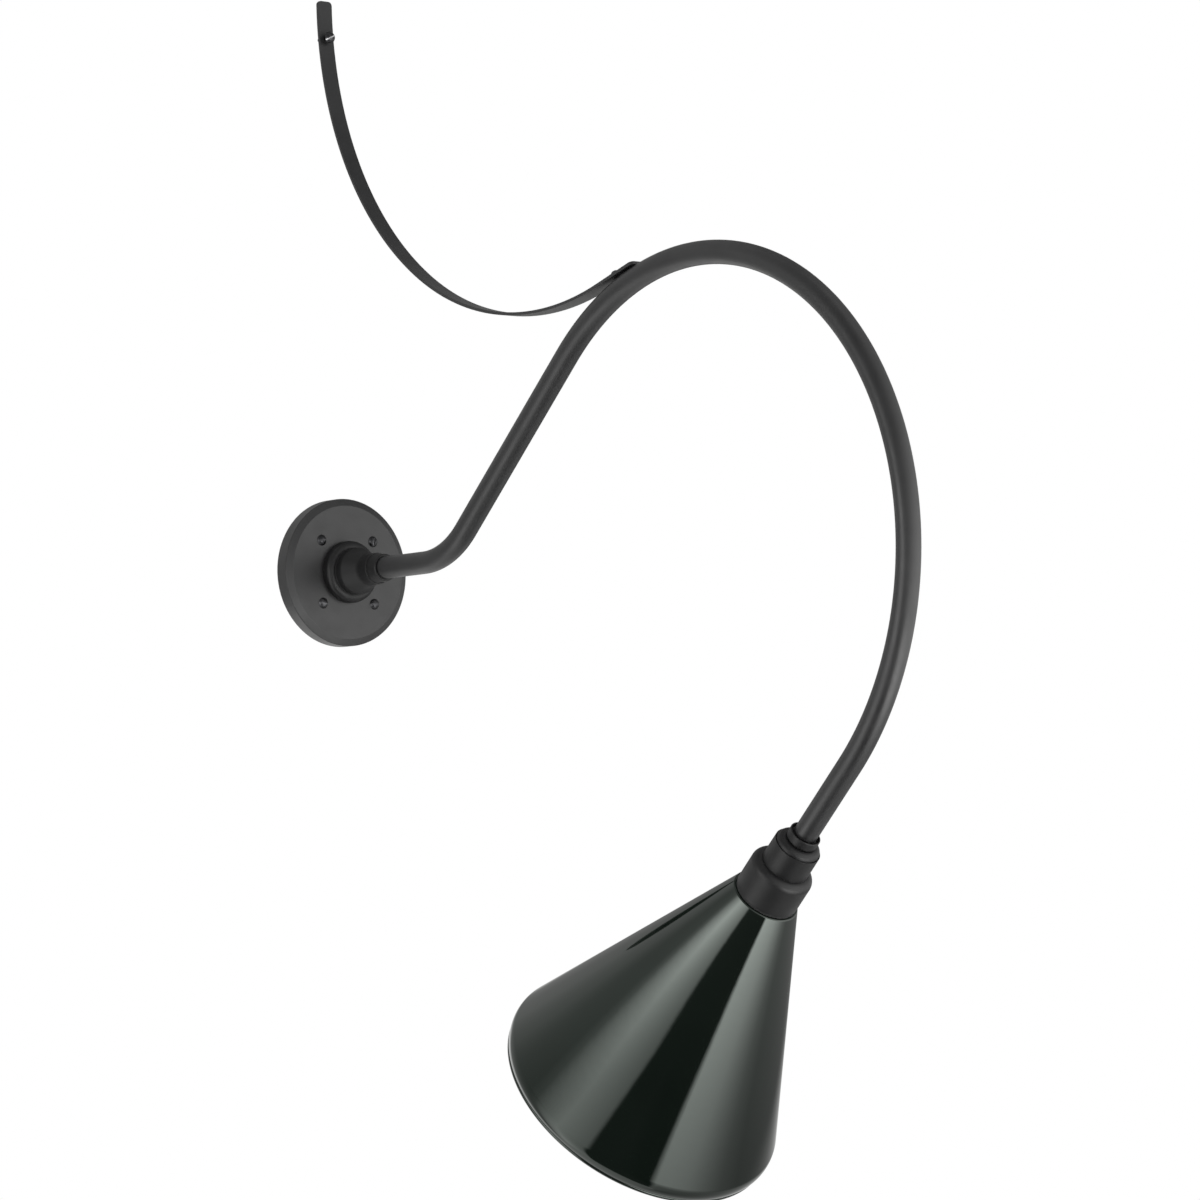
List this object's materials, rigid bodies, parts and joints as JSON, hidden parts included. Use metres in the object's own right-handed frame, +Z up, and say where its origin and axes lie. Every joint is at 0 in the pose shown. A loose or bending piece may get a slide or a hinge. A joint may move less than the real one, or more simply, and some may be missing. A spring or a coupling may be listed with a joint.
{
  "type": "barn light",
  "caption": "Wall light with a round canopy, a tube arm bent up, over and back, a flat stay bar to the wall, and a cone shade that faces back towards the wall.",
  "frame": {"origin": "centre of the wall canopy's back, on the wall plane", "axes": "+Z up, the wall lies at +Y behind the plane Y = 0, the light stands out towards -Y, and the arm lies in the plane X = 0"},
  "size_m": [0.2586, 0.8354, 1.1406],
  "materials": {
    "black_powder_coat": "satin black powder coat",
    "green_enamel": "high-gloss very dark green enamel",
    "blackened_steel": "blackened screws",
    "zinc_steel": "zinc plated nuts, washers and nipple",
    "rubber_seal": "matt black gasket",
    "porcelain": "white glazed porcelain",
    "brass": "plain brass",
    "lamp_metal": "bright lamp base",
    "lamp_insulator": "dark base glass",
    "lamp_glass": "soft white frosted glass",
    "wire_black": "black wire insulation",
    "wire_white": "white wire insulation",
    "earth_green": "green earth screw"
  },
  "bodies": {
    "root": {"wall_canopy": "black_powder_coat", "canopy_gasket": "rubber_seal", "canopy_screws": "blackened_steel", "wall_hub": "black_powder_coat", "hub_set_screw": "blackened_steel", "hub_washer": "zinc_steel", "hub_nut": "zinc_steel", "earth_screw": "earth_green", "gooseneck_arm": "black_powder_coat", "stay_strap": "black_powder_coat", "strap_wall_screw": "blackened_steel", "strap_arm_screw": "blackened_steel", "fitter_neck": "black_powder_coat", "fitter_set_screw": "blackened_steel", "fitter_cap": "black_powder_coat", "nipple": "zinc_steel", "cap_nut": "zinc_steel", "shade_gasket": "rubber_seal", "shade": "green_enamel", "shade_washer": "zinc_steel", "shade_nut": "zinc_steel", "holder_bar": "zinc_steel", "bar_nut": "zinc_steel", "porcelain_body": "porcelain", "holder_screws": "zinc_steel", "screw_shell": "brass", "centre_contact": "brass", "socket_rivets": "brass", "live_wire": "wire_black", "neutral_wire": "wire_white"},
    "lamp": {"lamp_contact": "lamp_metal", "lamp_insulator": "lamp_insulator", "lamp_base": "lamp_metal", "lamp_glass": "lamp_glass"}
  },
  "joints": [
    {"name": "lamp_unscrew", "type": "slide", "parent": "root", "child": "lamp", "axis": [0, 0.7218, -0.6921], "range_m": [0, 0.022]}
  ]
}
